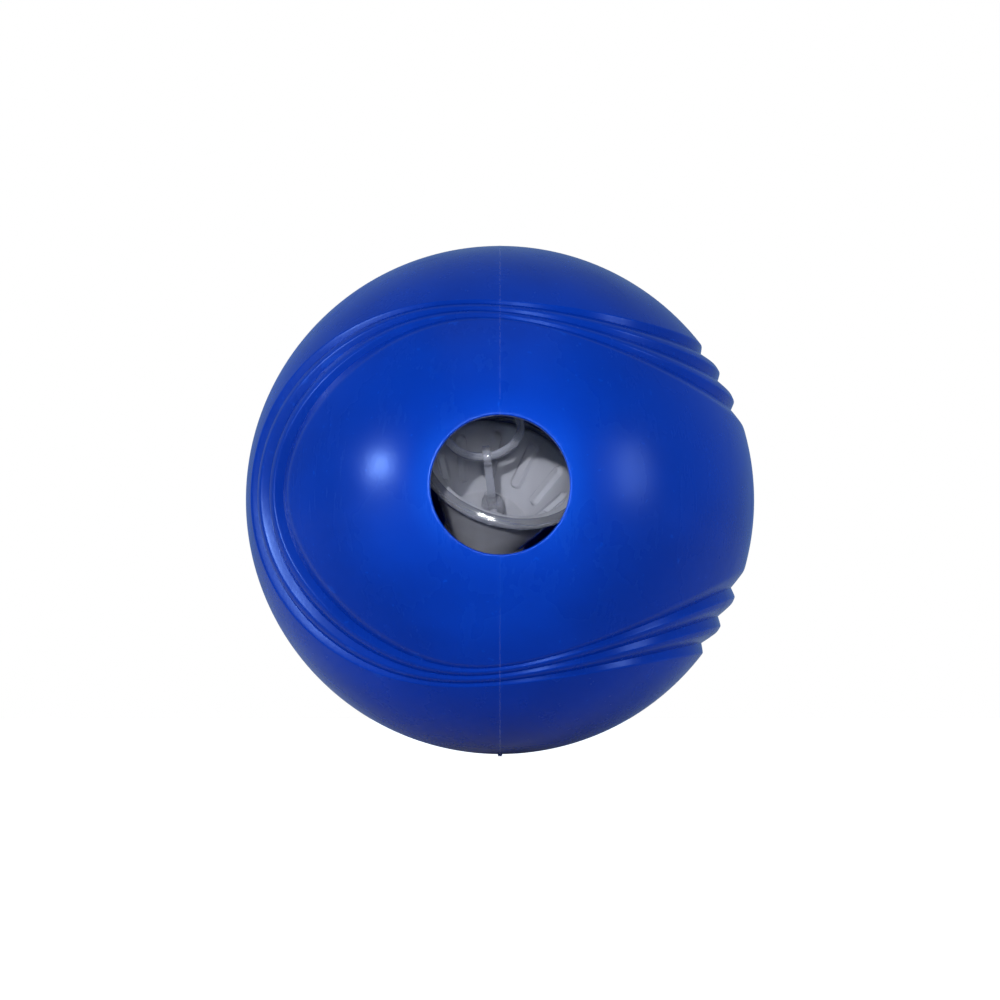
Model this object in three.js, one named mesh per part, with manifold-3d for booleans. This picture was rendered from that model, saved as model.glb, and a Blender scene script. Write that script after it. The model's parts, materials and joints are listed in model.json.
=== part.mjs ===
// A hollow laundry ball: two half shells around a weighted stopper that a ring draws up to the mouth.
// Millimetres, +Z up. The origin is the ball's centre, and the mouth faces -Y.
import * as THREE from "three";
import { mergeVertices } from "three/addons/utils/BufferGeometryUtils.js";
import Module from "manifold-3d";

const wasm = await Module();
wasm.setup();

// ---- Driving dimensions ----
const BALL_RADIUS = 46;
const WALL = 2.8;
const MOUTH_RADIUS = 11.8;
const GAP = 0.3; // clearance between touching pieces

// Seam between the half shells: a tongue on the left half stands in a rebate of the right half.
const TONGUE_REACH = 1.2;
const TONGUE_THICKNESS = 1.0;
const TONGUE_ROOT = 2.0;
const TONGUE_INSET = 0.1; // from the wall's inner face
const OVERCUT = 2; // how far a cutting body runs past what it cuts

// Ridge lines run in three nested loops round a dumbbell-shaped lobe, which wraps from the front of
// the ball round its right side to its rear. Degrees, as [inner line, change to the next line].
const LINE_LEFT_END = [-58, -7.5]; // azimuth where a line turns back in front of the ball
const LINE_WAVES = [
  [39.5, 5.1],
  [14.1, -1.0],
  [-4.5, 1.2],
]; // the first, third and fifth wave of a line's elevation
const LINE_SAG = 1.2; // how much lower the lines sit between the waist and the left end
const LOBE_WAIST = 90; // azimuth of the dumbbell's waist
const LINE_COUNT = 3;
const GROOVE_SLOPE = 0.22; // groove depth over the distance to the next groove
const BAND_START = -0.63; // where the lobe starts to fall into the first groove, in groove spacings
const BAND_END = 2.45;
// Height across one groove spacing, as a share of the groove's depth: [place, height].
const GROOVE_PROFILE = [
  [0, -1],
  [0.25, -0.05],
  [0.45, 0],
];
const COLUMNS = 120; // points round each ridge line
const LOBE_STEPS = 12; // faces across the lobe
const CAP_STEPS = 14; // faces across the smooth surface between the outer lines

// Flash left on the seam at the top and the bottom of the ball.
const NUB_WIDTH = 0.9;
const NUB_LENGTH = 1.6;
const NUB_HEIGHT = 0.3;
const NUB_ROOT = 0.7;

// Stopper, along its own axis: 0 is the weight ball's centre, and forward is towards the mouth.
const WEIGHT_RADIUS = 6.0;
const SOCKET_INNER = 6.4;
const SOCKET_OUTER = 7.6;
const SOCKET_BACK = -7.4;
const SOCKET_STEP = 1; // from the back of the cup's floor to where the cup's wall leaves the socket
const CUP_FLOOR_BACK = 6.4;
const CUP_FLOOR_FRONT = 7.6;
const CUP_FLOOR_RADIUS = 6.8;
const CUP_WALL = 1.1;
const RIM_FORWARD = 19;
const RIM_INNER = 12.3;
const RIM_BAND = 1.4; // length of the thicker band at the rim
const RIM_BAND_STEP = 0.2;
const RIM_BAND_RAMP = 0.6;
const RIB_COUNT = 10;
const RIB_WIDTH = 2.2;
const RIB_LENGTH = 9;
const RIB_HEIGHT = 0.8;
const RIB_ROOT = 0.6; // how deep a rib is sunk into the wall
const RIB_MIDDLE = 6.2; // from the cup's floor
const LIP_OUTER = 15.1;
const LIP_THICKNESS = 2.0;
const LIP_PROUD = 0.7; // how far the lip stands in front of the rim
const LIP_BACK_CHAMFER = [0.5, 0.6]; // across and along the axis
const LIP_FRONT_CHAMFER = [0.8, 0.9];
const CAP_PLUG_RADIUS = 6.05;
const CAP_PLUG_LENGTH = 1.0;
const CAP_FLANGE_THICKNESS = 1.2;
const BAR_FORWARD = 10;
const BAR_RADIUS = 0.7;
const BAR_SPAN = 4.4;
const BAR_ROOT = 0.5; // how deep each end of the bar is sunk into its post
const POST_THICKNESS = 1.2;
const POST_WIDTH = 2.6;
const POST_ROOT = 0.4; // how deep a post is sunk into the cup's floor
const POST_PROUD = 0.2; // how far a post stands past the bar

// Link and ring that draw the stopper up.
const LINK_LENGTH = 12;
const LINK_THICKNESS = 1.4;
const LINK_WIDTH = 2.4;
const WEB_INSET = 1.2; // from each eye's centre to the web's end
const EYE_CLEARANCE = 0.5; // between each end of the eye on the bar and the post beside it
const EYE_OUTER = 1.9;
const EYE_INNER = 1.05;
const RING_LENGTH = 12.5;
const RING_WIDTH = 13;
const RING_WIRE = 0.75;

// How the stopper lies at rest, and where it goes when it closes the mouth.
const REST_TILT = 48;
const TILT_AXIS = new THREE.Vector3(-0.95, 0, 0.3).normalize();
const LINK_LEAN = 18;
const REST_PLACE = new THREE.Vector3(-3.5, -4, -9);

// How finely round bodies are faceted.
const ROUND_SEGMENTS = 40;
const SMALL_SEGMENTS = 20;
const SEAM_SEGMENTS = 64;
const MOUTH_SEGMENTS = 48;
const HOLLOW_SEGMENTS = [36, 22];
const WEIGHT_SEGMENTS = [24, 14];
const RING_SEGMENTS = [40, 8]; // along the wire and round it
const RIB_END_SEGMENTS = 5;

// Colours.
const BLUE = 0x0a3cc0;
const CLEAR = 0xd8dbe4;
const STEEL = 0xb8bcc4;

const DEGREE = Math.PI / 180;
const INNER_RADIUS = BALL_RADIUS - WALL;

// ---- Solids ----
function solid(geometry) {
  const bare = geometry.clone();
  bare.deleteAttribute("normal");
  bare.deleteAttribute("uv");
  const merged = mergeVertices(bare, 1e-4);
  return new wasm.Manifold(
    new wasm.Mesh({
      numProp: 3,
      vertProperties: merged.attributes.position.array,
      triVerts: new Uint32Array(merged.index.array),
    }),
  );
}

function geometryOf(manifold) {
  const mesh = manifold.getMesh();
  const geometry = new THREE.BufferGeometry();
  geometry.setAttribute("position", new THREE.BufferAttribute(mesh.vertProperties, 3));
  geometry.setIndex(new THREE.BufferAttribute(mesh.triVerts, 1));
  geometry.computeVertexNormals();
  return geometry;
}

function piece(name, geometry, color, roughness, metalness = 0, opacity = 1) {
  const material = new THREE.MeshStandardMaterial({
    color,
    roughness,
    metalness,
    opacity,
    transparent: opacity < 1,
  });
  const mesh = new THREE.Mesh(geometry, material);
  mesh.name = name;
  return mesh;
}

// A turned body about the forward axis from [radius, forward] pairs that go round its section.
// A section that starts and ends on the axis is whole as it is, and any other is closed here.
function turned(section, segments = ROUND_SEGMENTS) {
  const points = section.map(([radius, forward]) => new THREE.Vector2(radius, -forward)).reverse();
  const onAxis = section[0][0] === 0;
  return new THREE.LatheGeometry(onAxis ? points : [...points, points[0]], segments);
}

function box(sizeX, sizeY, sizeZ, x, y, z) {
  return new THREE.BoxGeometry(sizeX, sizeY, sizeZ).translate(x, y, z);
}

function rodAlongZ(radius, length) {
  return new THREE.CylinderGeometry(radius, radius, length, SMALL_SEGMENTS).rotateX(Math.PI / 2);
}

// ---- Shell ----
// The direction from the ball's centre at an azimuth (0 faces -Y, +90 faces +X) and an elevation.
function direction(azimuth, elevation) {
  const u = azimuth * DEGREE;
  const v = elevation * DEGREE;
  return new THREE.Vector3(Math.cos(v) * Math.sin(u), -Math.cos(v) * Math.cos(u), Math.sin(v));
}

// Azimuth and elevation at a turn round the ridge line at a place, counted in lines from the inner one.
function lineAngles(place, turn) {
  const leftEnd = LINE_LEFT_END[0] + LINE_LEFT_END[1] * place;
  const azimuth = LOBE_WAIST - (LOBE_WAIST - leftEnd) * Math.cos(turn);
  let elevation = -LINE_SAG * Math.sin(2 * turn) ** 2;
  LINE_WAVES.forEach(([inner, change], i) => {
    elevation += (inner + change * place) * Math.sin((2 * i + 1) * turn);
  });
  return [azimuth, elevation];
}

const linePoint = (place, turn) => direction(...lineAngles(place, turn));

// The distance from one ridge line to the next, straight across them.
function spacing(place, turn) {
  const step = 0.01;
  const across = linePoint(place + 0.5, turn).sub(linePoint(place - 0.5, turn));
  const along = linePoint(place, turn + step).sub(linePoint(place, turn - step)).normalize();
  return BALL_RADIUS * across.addScaledVector(along, -across.dot(along)).length();
}

// A point on the way between two points of the sphere.
function between(start, end, share) {
  const angle = start.angleTo(end);
  const point = start.clone().multiplyScalar(Math.sin((1 - share) * angle));
  return point.addScaledVector(end, Math.sin(share * angle)).normalize().multiplyScalar(BALL_RADIUS);
}

// The outer skin: rows round the ridge band, with a patch over the lobe inside the innermost row
// and one over the smooth surface outside the outermost.
function skin() {
  const positions = [];
  const faces = [];
  const turnOf = (column) => (column / COLUMNS) * 2 * Math.PI;
  const add = (point) => positions.push(...point.toArray()) / 3 - 1;
  const band = [[BAND_START, 0]];
  for (let line = 0; line < LINE_COUNT; line++) {
    for (const [place, height] of GROOVE_PROFILE) {
      band.push([line + place, height]);
    }
  }
  const rows = band.map(([place, height]) =>
    Array.from({ length: COLUMNS }, (_, column) => {
      const turn = turnOf(column);
      const radius = BALL_RADIUS + height * GROOVE_SLOPE * spacing(place, turn);
      return add(linePoint(place, turn).multiplyScalar(radius));
    }),
  );
  for (let row = 0; row < rows.length - 1; row++) {
    for (let column = 0; column < COLUMNS; column++) {
      const next = (column + 1) % COLUMNS;
      faces.push(rows[row][column], rows[row][next], rows[row + 1][next]);
      faces.push(rows[row][column], rows[row + 1][next], rows[row + 1][column]);
    }
  }

  // A patch of strips that cross from each column to its partner. The first and last are single points.
  const patch = (edge, columns, partner, steps, pointAt) => {
    const strips = columns.map((column) => {
      const [start, end] = [edge.at(column), edge[partner(column) % COLUMNS]];
      const inner = [];
      for (let step = 1; step < steps && start !== end; step++) {
        inner.push(add(pointAt(column, step / steps)));
      }
      return start === end ? [start] : [start, ...inner, end];
    });
    for (let strip = 0; strip < strips.length - 1; strip++) {
      const [left, right] = [strips[strip], strips[strip + 1]];
      for (let step = 0; step < steps; step++) {
        if (left.length > 1) {
          faces.push(left[step], left[step + 1], right[Math.min(step + 1, right.length - 1)]);
        }
        if (right.length > 1) {
          faces.push(left[Math.min(step, left.length - 1)], right[step + 1], right[step]);
        }
      }
    }
  };
  const half = COLUMNS / 2;
  const lobeColumns = Array.from({ length: half + 1 }, (_, i) => i);
  patch(rows[0], lobeColumns, (column) => COLUMNS - column, LOBE_STEPS, (column, share) => {
    const [azimuth, top] = lineAngles(BAND_START, turnOf(column));
    const bottom = lineAngles(BAND_START, -turnOf(column))[1];
    return direction(azimuth, top + (bottom - top) * share).multiplyScalar(BALL_RADIUS);
  });
  const capColumns = Array.from({ length: half + 1 }, (_, i) => half / 2 - i);
  patch(rows.at(-1), capColumns, (column) => half - column, CAP_STEPS, (column, share) =>
    between(linePoint(BAND_END, turnOf(column)), linePoint(BAND_END, turnOf(half - column)), share),
  );

  const geometry = new THREE.BufferGeometry();
  geometry.setAttribute("position", new THREE.Float32BufferAttribute(positions, 3));
  geometry.setIndex(faces);
  return geometry;
}

// A ring in the middle of the wall that crosses the seam plane, from x = start to x = end.
function seamRing(inner, outer, start, end) {
  const section = [
    [inner, start],
    [outer, start],
    [outer, end],
    [inner, end],
  ];
  return turned(section, SEAM_SEGMENTS).rotateZ(Math.PI / 2);
}

function halfShells() {
  const size = 2 * (BALL_RADIUS + OVERCUT);
  const hollow = solid(new THREE.SphereGeometry(INNER_RADIUS, ...HOLLOW_SEGMENTS));
  const bore = new THREE.CylinderGeometry(MOUTH_RADIUS, MOUTH_RADIUS, BALL_RADIUS, MOUTH_SEGMENTS);
  const mouthBore = solid(bore.translate(0, -BALL_RADIUS, 0));
  const nubMiddle = BALL_RADIUS + (NUB_HEIGHT - NUB_ROOT) / 2;
  const nub = (side) => solid(box(NUB_WIDTH, NUB_LENGTH, NUB_HEIGHT + NUB_ROOT, 0, 0, side * nubMiddle));
  const wall = solid(skin()).add(nub(1)).add(nub(-1)).subtract(hollow).subtract(mouthBore);
  const leftSpace = solid(box(size, size, size, -(size + GAP) / 2, 0, 0));
  const rightSpace = solid(box(size, size, size, (size + GAP) / 2, 0, 0));
  const tongueInner = INNER_RADIUS + TONGUE_INSET;
  const tongueOuter = tongueInner + TONGUE_THICKNESS;
  const tongue = solid(seamRing(tongueInner, tongueOuter, -TONGUE_ROOT, TONGUE_REACH));
  const rebate = solid(seamRing(INNER_RADIUS - OVERCUT, tongueOuter + GAP, -GAP, TONGUE_REACH + GAP));
  const left = wall.intersect(leftSpace).add(tongue.subtract(mouthBore));
  const right = wall.intersect(rightSpace).subtract(rebate);
  return [
    piece("shell_left_half", geometryOf(left), BLUE, 0.35),
    piece("shell_right_half", geometryOf(right), BLUE, 0.35),
  ];
}

// ---- Stopper ----
// A rib with round ends that lies on the inside of the cup's flared wall.
function rib(turn) {
  const flare = Math.atan2(RIM_INNER - CUP_FLOOR_RADIUS, RIM_FORWARD - CUP_FLOOR_FRONT);
  const half = (RIB_LENGTH - RIB_WIDTH) / 2;
  const outline = new THREE.Shape();
  outline.absarc(0, half, RIB_WIDTH / 2, 0, Math.PI);
  outline.absarc(0, -half, RIB_WIDTH / 2, Math.PI, 2 * Math.PI);
  const depth = RIB_ROOT + RIB_HEIGHT;
  const options = { depth, bevelEnabled: false, curveSegments: RIB_END_SEGMENTS };
  return new THREE.ExtrudeGeometry(outline, options)
    .translate(0, 0, -RIB_ROOT)
    .rotateY(Math.PI)
    .rotateX(-flare)
    .translate(0, -(CUP_FLOOR_FRONT + RIB_MIDDLE), CUP_FLOOR_RADIUS + RIB_MIDDLE * Math.tan(flare))
    .rotateY(turn);
}

function stopperCup() {
  const rimOuter = RIM_INNER + CUP_WALL;
  const section = [
    [0, CUP_FLOOR_BACK],
    [SOCKET_INNER, CUP_FLOOR_BACK],
    [SOCKET_INNER, SOCKET_BACK],
    [SOCKET_OUTER, SOCKET_BACK],
    [SOCKET_OUTER, CUP_FLOOR_BACK - SOCKET_STEP],
    [rimOuter - RIM_BAND_STEP, RIM_FORWARD - RIM_BAND - RIM_BAND_RAMP],
    [rimOuter, RIM_FORWARD - RIM_BAND],
    [rimOuter, RIM_FORWARD],
    [RIM_INNER, RIM_FORWARD],
    [CUP_FLOOR_RADIUS, CUP_FLOOR_FRONT],
    [0, CUP_FLOOR_FRONT],
  ];
  let cup = solid(turned(section));
  for (let i = 0; i < RIB_COUNT; i++) {
    cup = cup.add(solid(rib((i / RIB_COUNT) * 2 * Math.PI)));
  }
  const postStart = CUP_FLOOR_FRONT - POST_ROOT;
  const postEnd = BAR_FORWARD + BAR_RADIUS + POST_PROUD;
  for (const side of [-1, 1]) {
    const z = (side * (BAR_SPAN + POST_THICKNESS)) / 2;
    const post = box(POST_WIDTH, postEnd - postStart, POST_THICKNESS, 0, -(postStart + postEnd) / 2, z);
    cup = cup.add(solid(post));
  }
  cup = cup.add(solid(rodAlongZ(BAR_RADIUS, BAR_SPAN + 2 * BAR_ROOT).translate(0, -BAR_FORWARD, 0)));
  return piece("stopper_cup", geometryOf(cup), CLEAR, 0.08, 0, 0.45);
}

function sealLip() {
  const inner = RIM_INNER + CUP_WALL + GAP;
  const front = RIM_FORWARD + LIP_PROUD;
  const back = front - LIP_THICKNESS;
  const section = [
    [inner, back],
    [LIP_OUTER - LIP_BACK_CHAMFER[0], back],
    [LIP_OUTER, back + LIP_BACK_CHAMFER[1]],
    [LIP_OUTER, front - LIP_FRONT_CHAMFER[1]],
    [LIP_OUTER - LIP_FRONT_CHAMFER[0], front],
    [inner, front],
  ];
  return piece("seal_lip", turned(section), CLEAR, 0.2, 0, 0.5);
}

function weightCap() {
  const flangeFront = SOCKET_BACK - GAP;
  const flangeBack = flangeFront - CAP_FLANGE_THICKNESS;
  const section = [
    [0, flangeBack],
    [SOCKET_OUTER, flangeBack],
    [SOCKET_OUTER, flangeFront],
    [CAP_PLUG_RADIUS, flangeFront],
    [CAP_PLUG_RADIUS, flangeFront + CAP_PLUG_LENGTH],
    [0, flangeFront + CAP_PLUG_LENGTH],
  ];
  return piece("weight_cap", turned(section), CLEAR, 0.2, 0, 0.6);
}

function weightBall() {
  return piece("weight_ball", new THREE.SphereGeometry(WEIGHT_RADIUS, ...WEIGHT_SEGMENTS), STEEL, 0.2, 1);
}

// The link turns on the cup's bar at its origin, and holds the ring in an eye at right angles to it.
function pullLink() {
  const atRing = (rod) => solid(rod.rotateY(Math.PI / 2).translate(0, -LINK_LENGTH, 0));
  const barEye = solid(rodAlongZ(EYE_OUTER, BAR_SPAN - 2 * EYE_CLEARANCE));
  const ringEye = atRing(rodAlongZ(EYE_OUTER, LINK_THICKNESS));
  const webLength = LINK_LENGTH - 2 * WEB_INSET;
  const web = solid(box(LINK_THICKNESS, webLength, LINK_WIDTH, 0, -LINK_LENGTH / 2, 0));
  const barHole = solid(rodAlongZ(EYE_INNER, BAR_SPAN));
  const ringHole = atRing(rodAlongZ(EYE_INNER, LINK_THICKNESS + OVERCUT));
  const link = barEye.add(ringEye).add(web).subtract(barHole).subtract(ringHole);
  return piece("pull_link", geometryOf(link), CLEAR, 0.1, 0, 0.5);
}

// An oval ring whose wire passes through the link's eye at its origin, along X.
function pullRing() {
  class RingPath extends THREE.Curve {
    getPoint(share) {
      const turn = share * 2 * Math.PI;
      const along = (RING_LENGTH / 2) * (1 - Math.cos(turn));
      return new THREE.Vector3((RING_WIDTH / 2) * Math.sin(turn), -along, 0);
    }
  }
  const [along, round] = RING_SEGMENTS;
  const tube = new THREE.TubeGeometry(new RingPath(), along, RING_WIRE, round, true);
  return piece("pull_ring", tube, CLEAR, 0.08, 0, 0.5);
}

// ---- Assembly ----
const ball = new THREE.Group();
ball.add(...halfShells());

const stopper = new THREE.Group();
stopper.position.copy(REST_PLACE);
stopper.quaternion.setFromAxisAngle(TILT_AXIS, REST_TILT * DEGREE);
stopper.add(stopperCup(), sealLip(), weightCap(), weightBall());

const link = new THREE.Group();
link.position.set(0, -BAR_FORWARD, 0);
link.rotation.z = -LINK_LEAN * DEGREE;
link.add(pullLink());

const ring = new THREE.Group();
ring.position.set(0, -LINK_LENGTH, 0);
ring.add(pullRing());
link.add(ring);
stopper.add(link);
ball.add(stopper);

export default ball;
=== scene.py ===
"""A hollow laundry ball with nested ridges, an open mouth and a clear weighted stopper inside.
Lengths are in millimetres until a mesh is made. +Z is up and the mouth faces -Y."""

import json
import math

import bmesh
import bpy
import numpy as np
from mathutils import Matrix, Vector


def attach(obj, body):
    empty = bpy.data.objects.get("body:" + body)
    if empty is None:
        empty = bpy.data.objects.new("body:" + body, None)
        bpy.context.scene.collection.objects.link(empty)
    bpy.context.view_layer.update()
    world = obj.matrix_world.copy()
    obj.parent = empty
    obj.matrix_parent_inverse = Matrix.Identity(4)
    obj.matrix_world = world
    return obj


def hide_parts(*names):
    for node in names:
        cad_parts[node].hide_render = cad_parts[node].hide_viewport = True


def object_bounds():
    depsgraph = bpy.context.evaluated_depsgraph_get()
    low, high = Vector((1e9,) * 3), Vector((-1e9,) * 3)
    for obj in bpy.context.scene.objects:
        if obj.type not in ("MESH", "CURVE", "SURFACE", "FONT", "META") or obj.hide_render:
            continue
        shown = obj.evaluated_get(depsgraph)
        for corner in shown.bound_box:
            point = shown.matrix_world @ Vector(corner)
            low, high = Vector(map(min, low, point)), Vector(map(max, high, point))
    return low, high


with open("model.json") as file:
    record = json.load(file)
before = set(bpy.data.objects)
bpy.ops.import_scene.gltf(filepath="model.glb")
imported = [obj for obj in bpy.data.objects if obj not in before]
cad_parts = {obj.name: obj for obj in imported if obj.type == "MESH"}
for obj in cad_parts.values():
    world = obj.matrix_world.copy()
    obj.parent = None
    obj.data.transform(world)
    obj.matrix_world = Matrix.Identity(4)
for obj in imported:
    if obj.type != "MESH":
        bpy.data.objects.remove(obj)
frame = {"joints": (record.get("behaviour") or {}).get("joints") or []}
cad_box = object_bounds()

MM = 0.001
JOINTS = {joint["name"]: joint for joint in frame["joints"]}

# ---- Dimensions, as the CAD source has them ----
BALL_RADIUS = 45.92  # the CAD ball less a hair, so that the seam's bead stays inside its box
INNER_RADIUS = 43.2
MOUTH_RADIUS = 11.8
MOUTH_EDGE = 0.3  # radius of the mouth's rounded edges
# Ridge lines, in degrees, as (inner line, change to the next line).
LINE_LEFT_END = (-58.0, -7.5)
LINE_WAVES = ((39.5, 5.1), (14.1, -1.0), (-4.5, 1.2))
LINE_SAG = 1.2
LOBE_WAIST = 90.0
LINE_COUNT = 3
GROOVE_SLOPE = 0.22
BAND_START = -0.63
BAND_END = 2.45
BAND_MARGIN = 0.12  # how far before the band's start its first row lies
LEAD_ROWS = 14  # rows from there to the first valley
LEAD_CLOSE_ROWS = (-0.03, -0.01)
RISE_END = 0.22  # where a ridge's steep face ends, in groove spacings
FALL_START = 0.45  # where its gradual fall starts
CREST_BLEND = 0.16  # how softly the faces meet at the crest, in groove depths

COLUMNS = 720
LOBE_STEPS = 90
CAP_STEPS = 90
HOLLOW_RINGS = 100
HOLLOW_SEGMENTS = 200
MOUTH_SEGMENTS = 240
MOUTH_EDGE_STEPS = 7
CUTTER_REACH = 4.0  # how far the mouth's cutter runs past the wall on each side
# Rows across one groove spacing, closest at the valley and on the steep face.
GROOVE_ROWS = (
    0, 0.02, 0.05, 0.09, 0.13, 0.17, 0.2, 0.23, 0.26, 0.3,
    0.35, 0.41, 0.47, 0.55, 0.64, 0.74, 0.84, 0.92, 0.97, 0.99,
)

SEAM_GAP = 0.002  # half the hairline between the halves
BEAD_CUTS = (0.13, 0.28, 0.5)  # distances from the seam plane where the bead gets rows of its own
BEAD_HEIGHT = 0.012
BEAD_GROOVE = 0.06  # width of the groove that the bead leaves along the seam
NUB_SIZE = (0.8, 1.4, 1.0)  # flash left on the seam at the top and the bottom
NUB_TOP = 46.27
NUB_BEVEL = 0.2

SOCKET_INNER = 6.4
SOCKET_OUTER = 7.6
SOCKET_BACK = -7.4
CUP_FLOOR_BACK = 6.4
CUP_FLOOR_FRONT = 7.6
CUP_FLOOR_RADIUS = 6.8
CUP_WALL = 1.1
CUP_ROWS = 72  # rows down the cup's inner wall
CUP_SEGMENTS = 360
RIM_FORWARD = 19.0
RIM_INNER = 12.3
RIB_COUNT = 10
RIB_WIDTH = 2.2
RIB_HEIGHT = 0.8
RIB_LENGTH = 9.0
RIB_MIDDLE = 6.2  # from the cup's floor, along its axis
RIB_SKIRT = 0.05  # how far a rib's foot spreads past its outline
RIB_FLANK = 0.55  # width of a rib's sloping side
RIB_CROWN = 1.2  # over 1, the side starts more gently at its foot
OFF_FLOOR = 0.05  # ribs start this far in front of the cup's floor
ON_WALL = 0.03  # a point this close to the inner wall belongs to it
RIM_BAND = 1.4  # length of the thicker band at the rim
RIM_BAND_STEP = 0.2
RIM_BAND_RAMP = 0.6
SOCKET_STEP = 1.0  # from the back of the cup's floor to where its wall leaves the socket
LIP_OUTER = 15.1
LIP_THICKNESS = 2.0
LIP_PROUD = 0.7
LIP_BACK_CHAMFER = (0.5, 0.6)  # across and along the axis
LIP_FRONT_CHAMFER = (0.8, 0.9)
CAP_PLUG_RADIUS = 6.05
CAP_PLUG_LENGTH = 1.0
CAP_FLANGE = 1.2
DIMPLE_RADIUS = 1.2  # of the gate mark in the middle of the cap's back
DIMPLE_FLOOR = 0.9
DIMPLE_DEPTH = 0.25
GAP = 0.3
WEIGHT_RADIUS = 6.0
BAR_FORWARD = 10.0
BAR_RADIUS = 0.7
BAR_SPAN = 4.4
POST_THICKNESS = 1.2
POST_WIDTH = 2.6
POST_ROOT = 0.4  # how deep a post is sunk into the cup's floor
POST_PROUD = 0.2  # how far a post stands past the bar
BAR_ROOT = 0.5  # how deep each end of the bar is sunk into its post
LINK_LENGTH = 12.0
LINK_THICKNESS = 1.4
LINK_WIDTH = 2.4
WEB_INSET = 1.2  # from each eye's centre to the web's end
EYE_CLEARANCE = 0.5  # between each end of the eye on the bar and the post beside it
EYE_OUTER = 1.9
EYE_INNER = 1.05
RING_LENGTH = 12.5
RING_WIDTH = 13.0
RING_WIRE = 0.75
RING_SEGMENTS = (160, 24)  # along the wire and round it
OVERCUT = 2.0  # how much longer a hole's cutter is than the hole

SHARP_ANGLE = 30.0  # edges sharper than this, in degrees, stay crisp
SHELL_SHARP_ANGLE = 28.0
TINY_ANGLE = 1e-6
TURN_STEP = 0.01  # between the points that give a ridge line's direction

FLOOR_HALF = 3.0  # metres
FLOOR_DROP = 0.0002
FLOOR_GLOW = 0.95  # lifts the floor to the white of the surroundings, for the camera alone
CAMERA_ELEVATION = -3.4
CAMERA_DISTANCE = 0.644
SPOT_FROM = Vector((-0.09, -0.85, 0.1))
SPOT_RADIUS = 0.0105  # of the pool of light at the mouth
MOUTH_MIDDLE = Vector((0, -0.0445, 0))


# The CAD node that each piece of the stopper, link and ring stands for.
CAD_NODES = {
    "cup_with_socket": "stopper_cup",
    "soft_seal_lip": "seal_lip",
    "socket_cap": "weight_cap",
    "steel_weight": "weight_ball",
    "draw_link": "pull_link",
    "draw_ring": "pull_ring",
}


# ---- Mesh helpers ----
def dress(name, mesh, body, node, sharp=SHARP_ANGLE):
    """Smooths a mesh but for its sharp edges, and makes the piece that rides on a body for a CAD node."""
    mesh.validate()
    grid = bmesh.new()
    grid.from_mesh(mesh)
    bmesh.ops.recalc_face_normals(grid, faces=grid.faces)
    if grid.calc_volume(signed=True) < 0:
        bmesh.ops.reverse_faces(grid, faces=grid.faces)
    for face in grid.faces:
        face.smooth = True
    for edge in grid.edges:
        edge.smooth = len(edge.link_faces) == 2 and edge.calc_face_angle(0) < math.radians(sharp)
    grid.to_mesh(mesh)
    grid.free()
    piece = bpy.data.objects.new(name, mesh)
    bpy.context.scene.collection.objects.link(piece)
    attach(piece, body)
    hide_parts(node)
    return piece


def grid_faces(rows, columns, open_rows=True):
    """Quads between rows of a grid whose columns, and rows unless they are open, go all the way round."""
    faces = []
    for row in range(rows - 1 if open_rows else rows):
        below = (row + 1) % rows
        for column in range(columns):
            right = (column + 1) % columns
            faces.append((
                row * columns + column,
                row * columns + right,
                below * columns + right,
                below * columns + column,
            ))
    return faces


def rounded(section, radius, steps=4):
    """A closed section with each corner off the axis cut back to a small arc."""
    result = []
    count = len(section)
    for i, here in enumerate(section):
        here = np.array(here, float)
        if here[0] == 0:
            result.append(tuple(here))
            continue
        before, after = np.array(section[i - 1], float), np.array(section[(i + 1) % count], float)
        back, ahead = before - here, after - here
        reach = min(radius, np.linalg.norm(back) * 0.45, np.linalg.norm(ahead) * 0.45)
        start = here + back / np.linalg.norm(back) * reach
        end = here + ahead / np.linalg.norm(ahead) * reach
        for step in range(steps + 1):
            t = step / steps
            result.append(tuple((1 - t) ** 2 * start + 2 * t * (1 - t) * here + t * t * end))
    return result


def lathe(section, segments, bumps=None):
    """Turns (radius, forward) pairs about the forward axis. Ends on the axis become single points."""
    on_axis = section[0][0] == 0 and section[-1][0] == 0
    inner = section[1:-1] if on_axis else section
    turns = np.arange(segments) / segments * 2 * math.pi
    vertices = []
    for radius, forward in inner:
        for turn in turns:
            r, f = (radius, forward) if bumps is None else bumps(radius, forward, turn)
            vertices.append((r * math.sin(turn), -f, r * math.cos(turn)))
    rows = len(inner)
    faces = grid_faces(rows, segments, open_rows=on_axis)
    if on_axis:
        for end, row in ((section[0], 0), (section[-1], rows - 1)):
            pole = len(vertices)
            vertices.append((0, -end[1], 0))
            faces += [
                (pole, row * segments + column, row * segments + (column + 1) % segments)
                for column in range(segments)
            ]
    return vertices, faces


# ---- Shell ----
def direction(azimuth, elevation):
    u, v = np.radians(azimuth), np.radians(elevation)
    return np.stack([np.cos(v) * np.sin(u), -np.cos(v) * np.cos(u), np.sin(v)], axis=-1)


def line_angles(place, turn):
    """Azimuth and elevation round the ridge line at a place, counted in lines from the inner one."""
    left_end = LINE_LEFT_END[0] + LINE_LEFT_END[1] * place
    azimuth = LOBE_WAIST - (LOBE_WAIST - left_end) * np.cos(turn)
    elevation = -LINE_SAG * np.sin(2 * turn) ** 2
    for i, (inner, change) in enumerate(LINE_WAVES):
        elevation = elevation + (inner + change * place) * np.sin((2 * i + 1) * turn)
    return azimuth, elevation


def line_point(place, turn):
    return direction(*line_angles(place, turn))


def unit(vectors):
    return vectors / np.linalg.norm(vectors, axis=-1, keepdims=True)


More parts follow.
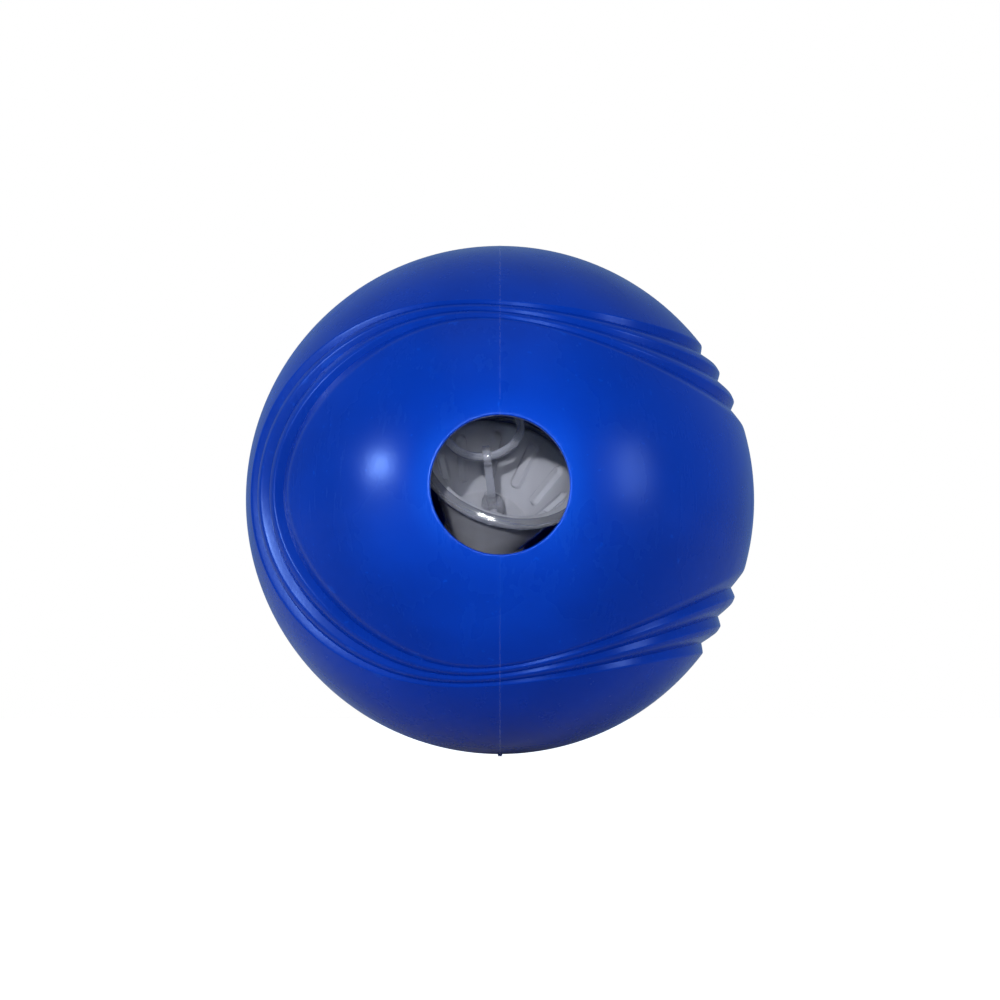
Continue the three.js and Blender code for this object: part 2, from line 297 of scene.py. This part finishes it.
def line_spacing(place, turn):
    """The distance from one ridge line to the next, straight across them."""
    across = line_point(place + 0.5, turn) - line_point(place - 0.5, turn)
    along = unit(line_point(place, turn + TURN_STEP) - line_point(place, turn - TURN_STEP))
    across = across - along * (across * along).sum(-1, keepdims=True)
    return BALL_RADIUS * np.linalg.norm(across, axis=-1, keepdims=True)


def soft_least(a, b, blend):
    """The smaller of two numbers, rounded off where they cross."""
    mix = min(max(0.5 + 0.5 * (b - a) / blend, 0.0), 1.0)
    return b * (1 - mix) + a * mix - blend * mix * (1 - mix)


def ridge_height(place):
    """Height at a place in the band, in groove depths below the ball's radius."""
    if place < 0:
        return soft_least(0.0, -(place - BAND_START) / -BAND_START, CREST_BLEND)
    along = place - math.floor(place)
    rise = along / RISE_END - 1
    fall = (FALL_START - along) / (1 - FALL_START) if place < LINE_COUNT - 1 else 1.0
    return max(soft_least(0.0, soft_least(rise, fall, CREST_BLEND), CREST_BLEND), -1.0)


def skin():
    """The outer skin: rows round the ridge band, with a patch inside it and one outside."""
    turn = np.arange(COLUMNS) / COLUMNS * 2 * math.pi
    start = BAND_START - BAND_MARGIN
    places = [*np.linspace(start, 0, LEAD_ROWS, endpoint=False), *LEAD_CLOSE_ROWS]
    for line in range(LINE_COUNT):
        places += [line + row for row in GROOVE_ROWS if line + row < BAND_END]
    places.append(BAND_END)
    points = []
    for place in places:
        radius = BALL_RADIUS + ridge_height(place) * GROOVE_SLOPE * line_spacing(place, turn)
        points.extend(line_point(place, turn) * radius)
    faces = grid_faces(len(places), COLUMNS)
    half = COLUMNS // 2
    last = (len(places) - 1) * COLUMNS

    def patch(pairs, rows_between):
        """Strips from each pair's first vertex to its second. The end pairs are one vertex each."""
        strips = []
        for (first, second), inner in zip(pairs, rows_between):
            base = len(points)
            points.extend(inner)
            whole = [first, *range(base, base + len(inner)), second]
            strips.append([first] if first == second else whole)
        for one, two in zip(strips, strips[1:]):
            if len(one) == 1:
                faces.extend((one[0], b, a) for a, b in zip(two, two[1:]))
            elif len(two) == 1:
                faces.extend((a, b, two[0]) for a, b in zip(one, one[1:]))
            else:
                faces.extend((a, b, d, c) for a, b, c, d in zip(one, one[1:], two, two[1:]))

    shares = np.linspace(0, 1, LOBE_STEPS + 1)[1:-1]
    lobe_turn = turn[: half + 1]
    azimuth, top = line_angles(start, lobe_turn)
    bottom = line_angles(start, -lobe_turn)[1]
    inner = [
        direction(np.full_like(shares, u), t + (b - t) * shares) * BALL_RADIUS
        for u, t, b in zip(azimuth, top, bottom)
    ]
    inner[0] = inner[-1] = []
    patch([(i, (COLUMNS - i) % COLUMNS) for i in range(half + 1)], inner)

    shares = np.linspace(0, 1, CAP_STEPS + 1)[1:-1, None]
    columns = range(half // 2, -half // 2 - 1, -1)
    inner = []
    for column in columns:
        a, b = (line_point(BAND_END, 2 * math.pi * c / COLUMNS) for c in (column, half - column))
        angle = math.acos(min(max(float(a @ b), -1.0), 1.0))
        if angle > TINY_ANGLE:
            across = a * np.sin((1 - shares) * angle) + b * np.sin(shares * angle)
            inner.append(across / math.sin(angle) * BALL_RADIUS)
        else:
            inner.append([])
    inner[0] = inner[-1] = []
    patch([(last + c % COLUMNS, last + (half - c) % COLUMNS) for c in columns], inner)
    return points, faces


def mouth_cutter():
    """A turned tool that leaves the mouth's bore and its rounded edges, outside and inside."""
    wide = MOUTH_RADIUS + MOUTH_EDGE
    outside = math.sqrt(BALL_RADIUS**2 - wide**2)
    inside = math.sqrt(INNER_RADIUS**2 - wide**2)
    arc = np.radians(np.linspace(0, 90, MOUTH_EDGE_STEPS))
    section = [(0, inside - CUTTER_REACH), (wide, inside - CUTTER_REACH)]
    section += [
        (MOUTH_RADIUS + MOUTH_EDGE * (1 - math.sin(a)), inside + MOUTH_EDGE * (1 - math.cos(a)))
        for a in arc
    ]
    section += [
        (MOUTH_RADIUS + MOUTH_EDGE * (1 - math.cos(a)), outside - MOUTH_EDGE * (1 - math.sin(a)))
        for a in arc
    ]
    section += [(wide, outside + CUTTER_REACH), (0, outside + CUTTER_REACH)]
    return solid_part(*lathe(section, MOUTH_SEGMENTS))


def whole_shell():
    angles = np.linspace(0, math.pi, HOLLOW_RINGS)
    hollow = [(INNER_RADIUS * math.sin(a), -INNER_RADIUS * math.cos(a)) for a in angles]
    hollow[0], hollow[-1] = (0, -INNER_RADIUS), (0, INNER_RADIUS)
    nub_middle = NUB_TOP - NUB_SIZE[2] / 2
    nubs = [block(NUB_SIZE, (0, 0, side * nub_middle), NUB_BEVEL) for side in (-1, 1)]
    outer = combine(solid_part(*skin()), nubs, "UNION")
    inner = solid_part(*lathe(hollow, HOLLOW_SEGMENTS))
    return combine(outer, [inner, mouth_cutter()], "DIFFERENCE")


def cut(grid, x, clear):
    bmesh.ops.bisect_plane(
        grid,
        geom=grid.verts[:] + grid.edges[:] + grid.faces[:],
        plane_co=(x * MM, 0, 0),
        plane_no=(1, 0, 0),
        dist=1e-7,
        clear_outer=clear > 0,
        clear_inner=clear < 0,
    )


def shell_half(name, side, shell):
    """One half of the shell, cut at the seam and closed there, with a low moulded bead along the cut."""
    grid = bmesh.new()
    grid.from_mesh(shell)
    grid.transform(Matrix.Scale(MM, 4))
    cut(grid, side * SEAM_GAP, -side)
    for distance in BEAD_CUTS:
        cut(grid, side * distance, 0)
    for vertex in grid.verts:
        x = abs(vertex.co.x) / MM
        radius = vertex.co.length / MM
        off_axis = math.hypot(vertex.co.x, vertex.co.z)
        off_mouth = vertex.co.y > 0 or off_axis > (MOUTH_RADIUS + MOUTH_EDGE) * MM
        if x < BEAD_CUTS[-1] and INNER_RADIUS + 1 < radius < BALL_RADIUS + 0.1 and off_mouth:
            rise = BEAD_HEIGHT * math.cos(min(x / BEAD_CUTS[-1], 1) * math.pi / 2) ** 2
            groove = 1 - math.exp(-(((x - SEAM_GAP) / BEAD_GROOVE) ** 2))
            vertex.co *= 1 + rise * groove / radius
    rim = [edge for edge in grid.edges if len(edge.link_faces) == 1]
    bmesh.ops.triangle_fill(grid, use_beauty=False, edges=rim)
    bmesh.ops.dissolve_degenerate(grid, dist=1e-8, edges=grid.edges[:])
    mesh = bpy.data.meshes.new(name)
    grid.to_mesh(mesh)
    grid.free()
    return dress(name, mesh, "shell", f"shell_{name}", SHELL_SHARP_ANGLE)


# ---- Materials ----
class Shader:
    """A short hand for one node material."""

    def __init__(self, name):
        self.material = bpy.data.materials.new(name)
        self.material.use_nodes = True
        self.tree = self.material.node_tree
        self.tree.nodes.clear()
        self.output = self.tree.nodes.new("ShaderNodeOutputMaterial")
        self.bsdf = self.tree.nodes.new("ShaderNodeBsdfPrincipled")
        self.link(self.bsdf.outputs[0], self.output.inputs["Surface"])
        self.place = self.tree.nodes.new("ShaderNodeTexCoord").outputs["Object"]

    def link(self, source, target):
        self.tree.links.new(source, target)

    def put(self, target, value):
        if isinstance(value, bpy.types.NodeSocket):
            self.link(value, target)
        else:
            target.default_value = value

    def set(self, **values):
        for name, value in values.items():
            self.put(self.bsdf.inputs[name.replace("_", " ")], value)

    def noise(self, scale, detail=3.0, stretch=(1, 1, 1), roughness=0.5):
        mapping = self.tree.nodes.new("ShaderNodeMapping")
        mapping.inputs["Scale"].default_value = stretch
        self.link(self.place, mapping.inputs["Vector"])
        node = self.tree.nodes.new("ShaderNodeTexNoise")
        node.inputs["Scale"].default_value = scale
        node.inputs["Detail"].default_value = detail
        node.inputs["Roughness"].default_value = roughness
        self.link(mapping.outputs[0], node.inputs["Vector"])
        return node.outputs["Fac"]

    def ramp(self, value, low, high, start=0.0, end=1.0):
        node = self.tree.nodes.new("ShaderNodeMapRange")
        node.interpolation_type = "SMOOTHSTEP"
        for socket, number in zip(("From Min", "From Max", "To Min", "To Max"), (low, high, start, end)):
            node.inputs[socket].default_value = number
        self.link(value, node.inputs["Value"])
        return node.outputs["Result"]

    def math(self, operation, a, b=0.0):
        node = self.tree.nodes.new("ShaderNodeMath")
        node.operation = operation
        self.put(node.inputs[0], a)
        self.put(node.inputs[1], b)
        return node.outputs[0]

    def mix(self, share, a, b):
        node = self.tree.nodes.new("ShaderNodeMix")
        node.data_type = "RGBA"
        self.put(node.inputs[0], share)
        self.put(node.inputs[6], a)
        self.put(node.inputs[7], b)
        return node.outputs[2]

    def axis(self, name):
        node = self.tree.nodes.new("ShaderNodeSeparateXYZ")
        self.link(self.place, node.inputs[0])
        return node.outputs[name]

    def bump(self, height, distance, strength=1.0):
        node = self.tree.nodes.new("ShaderNodeBump")
        node.inputs["Distance"].default_value = distance
        node.inputs["Strength"].default_value = strength
        self.link(height, node.inputs["Height"])
        self.link(node.outputs[0], self.bsdf.inputs["Normal"])


def blue_plastic():
    """Satin royal blue: mottled and finely grained, and paler on the crests, along the seam and beside the
    mouth, where highlights are painted.
    """
    shader = Shader("blue_plastic")
    deep = (0.0002, 0.024, 0.27, 1)
    body = (0.0003, 0.032, 0.34, 1)
    pale = (0.002, 0.065, 0.5, 1)
    colour = shader.mix(shader.ramp(shader.noise(38, 4), 0.3, 0.7), deep, body)
    x, y, z = shader.axis("X"), shader.axis("Y"), shader.axis("Z")
    off_seam = shader.math("ABSOLUTE", x)
    squares = shader.math("ADD", shader.math("MULTIPLY", x, x), shader.math("MULTIPLY", z, z))
    off_axis = shader.math("SQRT", squares)
    # Painted highlight: the blue is paler left and right of the mouth, where the lamps' sheen and the glow
    # through the plastic gather.
    in_front = shader.ramp(y, -0.02, -0.035)
    near_mouth = shader.math("MULTIPLY", shader.ramp(off_axis, 0.0175, 0.0115), in_front)
    beside = shader.ramp(shader.math("DIVIDE", off_seam, off_axis), 0.45, 1.0, 0.25, 1.0)
    painted_mouth_highlight = shader.math("MULTIPLY", shader.math("MULTIPLY", near_mouth, beside), 0.35)
    colour = shader.mix(painted_mouth_highlight, colour, pale)
    geometry = shader.tree.nodes.new("ShaderNodeNewGeometry")
    # Painted highlight: the sharp crests of the ridges are paler, where their steep faces catch the lamps.
    # It is kept off the mouth's edge and off the seam.
    crest = shader.ramp(geometry.outputs["Pointiness"], 0.505, 0.56, 0, 0.3)
    clear_of_mouth = shader.ramp(off_axis, 0.0125, 0.0138)
    off_edges = shader.math("MULTIPLY", clear_of_mouth, shader.ramp(off_seam, 0.0004, 0.001))
    crest = shader.math("MULTIPLY", crest, off_edges)
    colour = shader.mix(crest, colour, pale)
    # Painted highlight: a faint paler line along the seam, where its bead catches the light.
    seam = shader.math("MULTIPLY", shader.ramp(off_seam, 0.0006, 0.0002), 0.05)
    colour = shader.mix(seam, colour, pale)
    specks = shader.ramp(shader.noise(900, 1), 0.72, 0.78, 0, 0.35)
    colour = shader.mix(specks, colour, pale)
    shader.link(colour, shader.bsdf.inputs["Base Color"])
    scuffs = shader.ramp(shader.noise(240, 5, (1, 1, 0.15), 0.65), 0.5, 0.8, 0, 0.1)
    rough = shader.math("ADD", shader.ramp(shader.noise(60, 4), 0.25, 0.75, 0.22, 0.3), scuffs)
    shader.link(rough, shader.bsdf.inputs["Roughness"])
    shader.set(IOR=1.49, Specular_IOR_Level=0.3, Specular_Tint=(0.22, 0.42, 1.0, 1))
    grain = shader.math("ADD", shader.noise(1500, 2), shader.math("MULTIPLY", shader.noise(220, 3), 1.4))
    shader.bump(grain, 0.00002, 0.5)
    return shader.material


def clear_plastic(name, tint, transmission, low, high, flow=(1, 1, 1)):
    """Clear moulded plastic with faint flow lines, haze and fine scuffs."""
    shader = Shader(name)
    shader.set(IOR=1.5, Transmission_Weight=transmission)
    dull = tuple(0.82 * c for c in tint) + (1,)
    shader.link(shader.mix(shader.ramp(shader.noise(90, 3, flow), 0.3, 0.7), tuple(tint) + (1,), dull),
                shader.bsdf.inputs["Base Color"])
    scuffs = shader.ramp(shader.noise(700, 4, (1, 0.2, 1), 0.6), 0.55, 0.8, 0, 0.12)
    shader.link(shader.math("ADD", shader.ramp(shader.noise(160, 3), 0.3, 0.7, low, high), scuffs),
                shader.bsdf.inputs["Roughness"])
    ripple = shader.math("MULTIPLY", shader.noise(900, 2), 0.12)
    waves = shader.math("ADD", shader.noise(140, 2, flow), ripple)
    shader.bump(waves, 0.00012, 0.35)
    return shader.material


def steel():
    """Polished steel with fine random scratches and faint heat colour."""
    shader = Shader("polished_steel")
    shader.set(Metallic=1.0)
    light, dark = (0.62, 0.63, 0.65, 1), (0.48, 0.49, 0.52, 1)
    shader.link(shader.mix(shader.ramp(shader.noise(70, 4), 0.3, 0.7), light, dark),
                shader.bsdf.inputs["Base Color"])
    scratches = shader.ramp(shader.noise(500, 5, (6, 0.4, 1), 0.7), 0.52, 0.75, 0, 0.16)
    shader.link(shader.math("ADD", shader.ramp(shader.noise(120, 3), 0.3, 0.7, 0.12, 0.2), scratches),
                shader.bsdf.inputs["Roughness"])
    shader.bump(scratches, 0.00001, 0.3)
    return shader.material


def white_floor():
    """A pale floor that meets the white surroundings without a horizon line."""
    shader = Shader("pale_floor")
    light, dark = (0.8, 0.8, 0.81, 1), (0.77, 0.77, 0.78, 1)
    shader.link(shader.mix(shader.ramp(shader.noise(6, 3), 0.3, 0.7), light, dark),
                shader.bsdf.inputs["Base Color"])
    shader.set(Roughness=0.7, Specular_IOR_Level=0.1)
    glow = shader.tree.nodes.new("ShaderNodeEmission")
    glow.inputs["Strength"].default_value = FLOOR_GLOW
    path = shader.tree.nodes.new("ShaderNodeLightPath")
    shown = shader.tree.nodes.new("ShaderNodeMixShader")
    both = shader.tree.nodes.new("ShaderNodeAddShader")
    shader.link(shader.bsdf.outputs[0], both.inputs[0])
    shader.link(glow.outputs[0], both.inputs[1])
    shader.link(path.outputs["Is Camera Ray"], shown.inputs[0])
    shader.link(shader.bsdf.outputs[0], shown.inputs[1])
    shader.link(both.outputs[0], shown.inputs[2])
    shader.link(shown.outputs[0], shader.output.inputs["Surface"])
    return shader.material


# ---- Stopper, link and ring ----
def forward_frame(origin, axis, degrees):
    return Matrix.Translation(Vector(origin)) @ Matrix.Rotation(math.radians(degrees), 4, Vector(axis))


tilt, lean, swing = (JOINTS[n] for n in ("stopper_tilt", "link_lean", "ring_swing"))
STOPPER_AT = forward_frame(tilt["pos_m"], [-c for c in tilt["axis"]], tilt["range_deg"][1])
LINK_AT = (
    STOPPER_AT
    @ Matrix.Translation((0, -BAR_FORWARD * MM, 0))
    @ Matrix.Rotation(math.radians(-lean["range_deg"][1]), 4, "Z")
)
RING_AT = LINK_AT @ Matrix.Translation((0, -LINK_LENGTH * MM, 0))


def cup_rib_bumps(radius, forward, turn):
    """Moves a point of the cup's inner wall inward where a rib stands."""
    flare = math.atan2(RIM_INNER - CUP_FLOOR_RADIUS, RIM_FORWARD - CUP_FLOOR_FRONT)
    wall = CUP_FLOOR_RADIUS + (forward - CUP_FLOOR_FRONT) * math.tan(flare)
    if forward <= CUP_FLOOR_FRONT + OFF_FLOOR or abs(radius - wall) > ON_WALL:
        return radius, forward
    step = 2 * math.pi / RIB_COUNT
    across = ((turn + step / 2) % step - step / 2) * radius
    along = (forward - CUP_FLOOR_FRONT - RIB_MIDDLE) / math.cos(flare)
    straight = RIB_LENGTH / 2 - RIB_WIDTH / 2
    off_end = max(abs(along) - straight, 0.0)
    distance = RIB_WIDTH / 2 - math.hypot(across, off_end)
    share = min(max((distance + RIB_SKIRT) / RIB_FLANK, 0.0), 1.0)
    height = RIB_HEIGHT * math.sin(share * math.pi / 2) ** RIB_CROWN
    return radius - height * math.cos(flare), forward + height * math.sin(flare)


def cup_section():
    rim_outer = RIM_INNER + CUP_WALL
    wall = [
        (RIM_INNER + (CUP_FLOOR_RADIUS - RIM_INNER) * t, RIM_FORWARD + (CUP_FLOOR_FRONT - RIM_FORWARD) * t)
        for t in np.linspace(0.04, 0.97, CUP_ROWS)
    ]
    outer = rounded([
        (0, CUP_FLOOR_BACK),
        (SOCKET_INNER, CUP_FLOOR_BACK),
        (SOCKET_INNER, SOCKET_BACK),
        (SOCKET_OUTER, SOCKET_BACK),
        (SOCKET_OUTER, CUP_FLOOR_BACK - SOCKET_STEP),
        (rim_outer - RIM_BAND_STEP, RIM_FORWARD - RIM_BAND - RIM_BAND_RAMP),
        (rim_outer, RIM_FORWARD - RIM_BAND),
        (rim_outer, RIM_FORWARD),
        (RIM_INNER, RIM_FORWARD),
        (CUP_FLOOR_RADIUS, CUP_FLOOR_FRONT),
        (0, CUP_FLOOR_FRONT),
    ], 0.3)
    # The inner wall gets close rows of its own in place of the one long face.
    last_rim = max(i for i, p in enumerate(outer) if p[1] > RIM_FORWARD - 0.5 and p[0] < RIM_INNER + 0.2)
    return outer[: last_rim + 1] + wall + outer[last_rim + 1 :]


def solid_part(vertices, faces):
    mesh = bpy.data.meshes.new("part")
    mesh.from_pydata([tuple(float(c) for c in v) for v in vertices], [], faces)
    grid = bmesh.new()
    grid.from_mesh(mesh)
    bmesh.ops.recalc_face_normals(grid, faces=grid.faces)
    if grid.calc_volume(signed=True) < 0:
        bmesh.ops.reverse_faces(grid, faces=grid.faces)
    grid.to_mesh(mesh)
    grid.free()
    piece = bpy.data.objects.new("part", mesh)
    bpy.context.scene.collection.objects.link(piece)
    return piece


def block(size, centre, bevel):
    grid = bmesh.new()
    bmesh.ops.create_cube(grid, size=1)
    bmesh.ops.scale(grid, vec=size, verts=grid.verts)
    bmesh.ops.bevel(grid, geom=grid.edges[:], offset=bevel, segments=3, profile=0.5, affect="EDGES")
    bmesh.ops.translate(grid, vec=centre, verts=grid.verts)
    mesh = bpy.data.meshes.new("part")
    grid.to_mesh(mesh)
    grid.free()
    piece = bpy.data.objects.new("part", mesh)
    bpy.context.scene.collection.objects.link(piece)
    return piece


def barrel(radius, length, centre, along, bevel=0.2, segments=64):
    """A short round bar with rounded ends, along X or Z."""
    half = length / 2
    section = rounded([(0, -half), (radius, -half), (radius, half), (0, half)], bevel)
    vertices, faces = lathe(section, segments)
    piece = solid_part(vertices, faces)
    turn = Matrix.Rotation(math.pi / 2, 4, "X" if along == "Z" else "Z")
    piece.data.transform(Matrix.Translation(centre) @ turn)
    return piece


def combine(base, others, operation):
    for other in others:
        modifier = base.modifiers.new("join", "BOOLEAN")
        modifier.operation = operation
        modifier.solver = "MANIFOLD"
        modifier.object = other
    evaluated = base.evaluated_get(bpy.context.evaluated_depsgraph_get())
    mesh = bpy.data.meshes.new_from_object(evaluated)
    base.modifiers.clear()
    base.data = mesh
    for other in others:
        bpy.data.objects.remove(other)
    return base


def finish_part(part, name, body, at):
    """Turns a working part in millimetres into a named piece in its place."""
    mesh = part.data
    bpy.data.objects.remove(part)
    mesh.name = name
    mesh.materials.clear()
    mesh.transform(at @ Matrix.Scale(MM, 4))
    return dress(name, mesh, body, CAD_NODES[name])


def make_cup():
    vertices, faces = lathe(cup_section(), CUP_SEGMENTS, cup_rib_bumps)
    cup = solid_part(vertices, faces)
    post_base = CUP_FLOOR_FRONT - POST_ROOT
    post_length = BAR_FORWARD + BAR_RADIUS + POST_PROUD - post_base
    posts = [
        block(
            (POST_WIDTH, post_length, POST_THICKNESS),
            (0, -(post_base + post_length / 2), side * (BAR_SPAN + POST_THICKNESS) / 2),
            0.25,
        )
        for side in (-1, 1)
    ]
    bar = barrel(BAR_RADIUS, BAR_SPAN + 2 * BAR_ROOT, (0, -BAR_FORWARD, 0), "Z", 0.1, 32)
    return finish_part(combine(cup, [*posts, bar], "UNION"), "cup_with_socket", "stopper", STOPPER_AT)


def make_lip():
    inner = RIM_INNER + CUP_WALL + GAP
    front = RIM_FORWARD + LIP_PROUD
    back = front - LIP_THICKNESS
    section = rounded([
        (inner, back),
        (LIP_OUTER - LIP_BACK_CHAMFER[0], back),
        (LIP_OUTER, back + LIP_BACK_CHAMFER[1]),
        (LIP_OUTER, front - LIP_FRONT_CHAMFER[1]),
        (LIP_OUTER - LIP_FRONT_CHAMFER[0], front),
        (inner, front),
    ], 0.35, 5)
    vertices, faces = lathe(section, 200)
    return finish_part(solid_part(vertices, faces), "soft_seal_lip", "stopper", STOPPER_AT)


def make_cap():
    front = SOCKET_BACK - GAP
    back = front - CAP_FLANGE
    dimple = [(0, back + DIMPLE_DEPTH), (DIMPLE_FLOOR, back + DIMPLE_DEPTH), (DIMPLE_RADIUS, back)]
    section = dimple + rounded([
        (SOCKET_OUTER, back),
        (SOCKET_OUTER, front),
        (CAP_PLUG_RADIUS, front),
        (CAP_PLUG_RADIUS, front + CAP_PLUG_LENGTH),
    ], 0.2) + [(0, front + CAP_PLUG_LENGTH)]
    vertices, faces = lathe(section, 120)
    return finish_part(solid_part(vertices, faces), "socket_cap", "stopper", STOPPER_AT)


def make_ball():
    angles = np.linspace(0, math.pi, 60)
    section = [(WEIGHT_RADIUS * math.sin(a), -WEIGHT_RADIUS * math.cos(a)) for a in angles]
    section[0], section[-1] = (0, -WEIGHT_RADIUS), (0, WEIGHT_RADIUS)
    vertices, faces = lathe(section, 96)
    return finish_part(solid_part(vertices, faces), "steel_weight", "weight", STOPPER_AT)


def make_link():
    bar_eye = barrel(EYE_OUTER, BAR_SPAN - 2 * EYE_CLEARANCE, (0, 0, 0), "Z")
    ring_eye = barrel(EYE_OUTER, LINK_THICKNESS, (0, -LINK_LENGTH, 0), "X", 0.25)
    web_size = (LINK_THICKNESS, LINK_LENGTH - 2 * WEB_INSET, LINK_WIDTH)
    web = block(web_size, (0, -LINK_LENGTH / 2, 0), 0.3)
    solid = combine(bar_eye, [ring_eye, web], "UNION")
    holes = [
        barrel(EYE_INNER, BAR_SPAN, (0, 0, 0), "Z", 0.05, 48),
        barrel(EYE_INNER, LINK_THICKNESS + OVERCUT, (0, -LINK_LENGTH, 0), "X", 0.05, 48),
    ]
    return finish_part(combine(solid, holes, "DIFFERENCE"), "draw_link", "link", LINK_AT)


def make_ring():
    """An oval ring of round wire."""
    around, across = RING_SEGMENTS
    vertices = []
    for i in range(around):
        turn = i / around * 2 * math.pi
        along = RING_LENGTH / 2 * (1 - math.cos(turn))
        middle = Vector((RING_WIDTH / 2 * math.sin(turn), -along, 0))
        ahead = Vector((RING_WIDTH / 2 * math.cos(turn), -RING_LENGTH / 2 * math.sin(turn), 0)).normalized()
        outward = Vector((ahead.y, -ahead.x, 0))
        for j in range(across):
            angle = j / across * 2 * math.pi
            vertices.append(
                middle + outward * RING_WIRE * math.cos(angle) + Vector((0, 0, RING_WIRE * math.sin(angle)))
            )
    faces = grid_faces(around, across, open_rows=False)
    return finish_part(solid_part(vertices, faces), "draw_ring", "ring", RING_AT)


# ---- Build ----
shell_part = whole_shell()
shell_mesh = shell_part.data
bpy.data.objects.remove(shell_part)
halves = [shell_half("left_half", -1, shell_mesh), shell_half("right_half", 1, shell_mesh)]
cup, lip, cap, weight = make_cup(), make_lip(), make_cap(), make_ball()
link, ring = make_link(), make_ring()

blue = blue_plastic()
for half in halves:
    half.data.materials.append(blue)
cup.data.materials.append(clear_plastic("clear_cup", (0.74, 0.76, 0.86), 0.5, 0.04, 0.1, (1, 1, 0.3)))
lip.data.materials.append(clear_plastic("clear_lip", (0.7, 0.72, 0.82), 0.8, 0.06, 0.14))
cap.data.materials.append(clear_plastic("clear_cap", (0.66, 0.68, 0.76), 0.6, 0.08, 0.16))
link.data.materials.append(clear_plastic("clear_link", (0.72, 0.74, 0.84), 0.75, 0.04, 0.1, (1, 0.3, 1)))
ring.data.materials.append(clear_plastic("clear_ring", (0.76, 0.78, 0.88), 0.8, 0.04, 0.1))
weight.data.materials.append(steel())

# ---- Floor, light and camera ----
floor_z = cad_box[0].z - FLOOR_DROP
floor_mesh = bpy.data.meshes.new("floor")
floor_mesh.from_pydata(
    [(-FLOOR_HALF, -FLOOR_HALF, floor_z), (FLOOR_HALF, -FLOOR_HALF, floor_z),
     (FLOOR_HALF, FLOOR_HALF, floor_z), (-FLOOR_HALF, FLOOR_HALF, floor_z)], [], [(0, 1, 2, 3)])
floor = bpy.data.objects.new("floor", floor_mesh)
bpy.context.scene.collection.objects.link(floor)
floor.data.materials.append(white_floor())


def area_light(name, azimuth, elevation, distance, width, height, power, colour=(1, 1, 1)):
    """A softbox that faces the ball, from an azimuth and elevation as seen from the ball's centre."""
    data = bpy.data.lights.new(name, "AREA")
    data.shape = "RECTANGLE"
    data.size, data.size_y = width, height
    data.energy = power
    data.color = colour
    light = bpy.data.objects.new(name, data)
    u, v = math.radians(azimuth), math.radians(elevation)
    away = Vector((math.cos(v) * math.sin(u), -math.cos(v) * math.cos(u), math.sin(v)))
    light.location = away * distance
    light.rotation_euler = away.to_track_quat("Z", "Y").to_euler()
    bpy.context.scene.collection.objects.link(light)
    return light


area_light("softbox_left", -54, 11, 1.0, 0.11, 0.13, 5)
area_light("softbox_right", 59, 9, 1.0, 0.24, 0.32, 2.6)
area_light("top_fill", 0, 70, 1.2, 0.9, 0.9, 1.0)
area_light("front_fill", 3, 3, 0.75, 0.1, 0.1, 1.3)

# A narrow spot that lights only what lies behind the mouth.
spot_data = bpy.data.lights.new("mouth_spot", "SPOT")
spot_data.energy = 85
spot_data.shadow_soft_size = 0.02
spot_data.spot_size = 2 * math.atan(SPOT_RADIUS / (SPOT_FROM - MOUTH_MIDDLE).length)
spot_data.spot_blend = 0.25
mouth_spot = bpy.data.objects.new("mouth_spot", spot_data)
mouth_spot.location = SPOT_FROM
mouth_spot.rotation_euler = (SPOT_FROM - MOUTH_MIDDLE).to_track_quat("Z", "Y").to_euler()
bpy.context.scene.collection.objects.link(mouth_spot)

world = bpy.data.worlds.new("studio")
bpy.context.scene.world = world
world.use_nodes = True
nodes, links = world.node_tree.nodes, world.node_tree.links
nodes.clear()
out = nodes.new("ShaderNodeOutputWorld")
seen, around = nodes.new("ShaderNodeBackground"), nodes.new("ShaderNodeBackground")
seen.inputs["Color"].default_value = (1, 1, 1, 1)
around.inputs["Color"].default_value = (0.45, 0.72, 1, 1)
around.inputs["Strength"].default_value = 0.48
path, mix = nodes.new("ShaderNodeLightPath"), nodes.new("ShaderNodeMixShader")
links.new(path.outputs["Is Camera Ray"], mix.inputs[0])
links.new(around.outputs[0], mix.inputs[1])
links.new(seen.outputs[0], mix.inputs[2])
links.new(mix.outputs[0], out.inputs["Surface"])

camera_data = bpy.data.cameras.new("camera")
camera_data.sensor_width = 36
camera_data.lens = 128
camera_data.clip_start, camera_data.clip_end = 0.01, 20
camera = bpy.data.objects.new("camera", camera_data)
bpy.context.scene.collection.objects.link(camera)
back = Vector((0, -math.cos(math.radians(CAMERA_ELEVATION)), math.sin(math.radians(CAMERA_ELEVATION))))
camera.location = back * CAMERA_DISTANCE
camera.rotation_euler = back.to_track_quat("Z", "Y").to_euler()
bpy.context.scene.camera = camera
bpy.context.scene.view_settings.view_transform = "Standard"
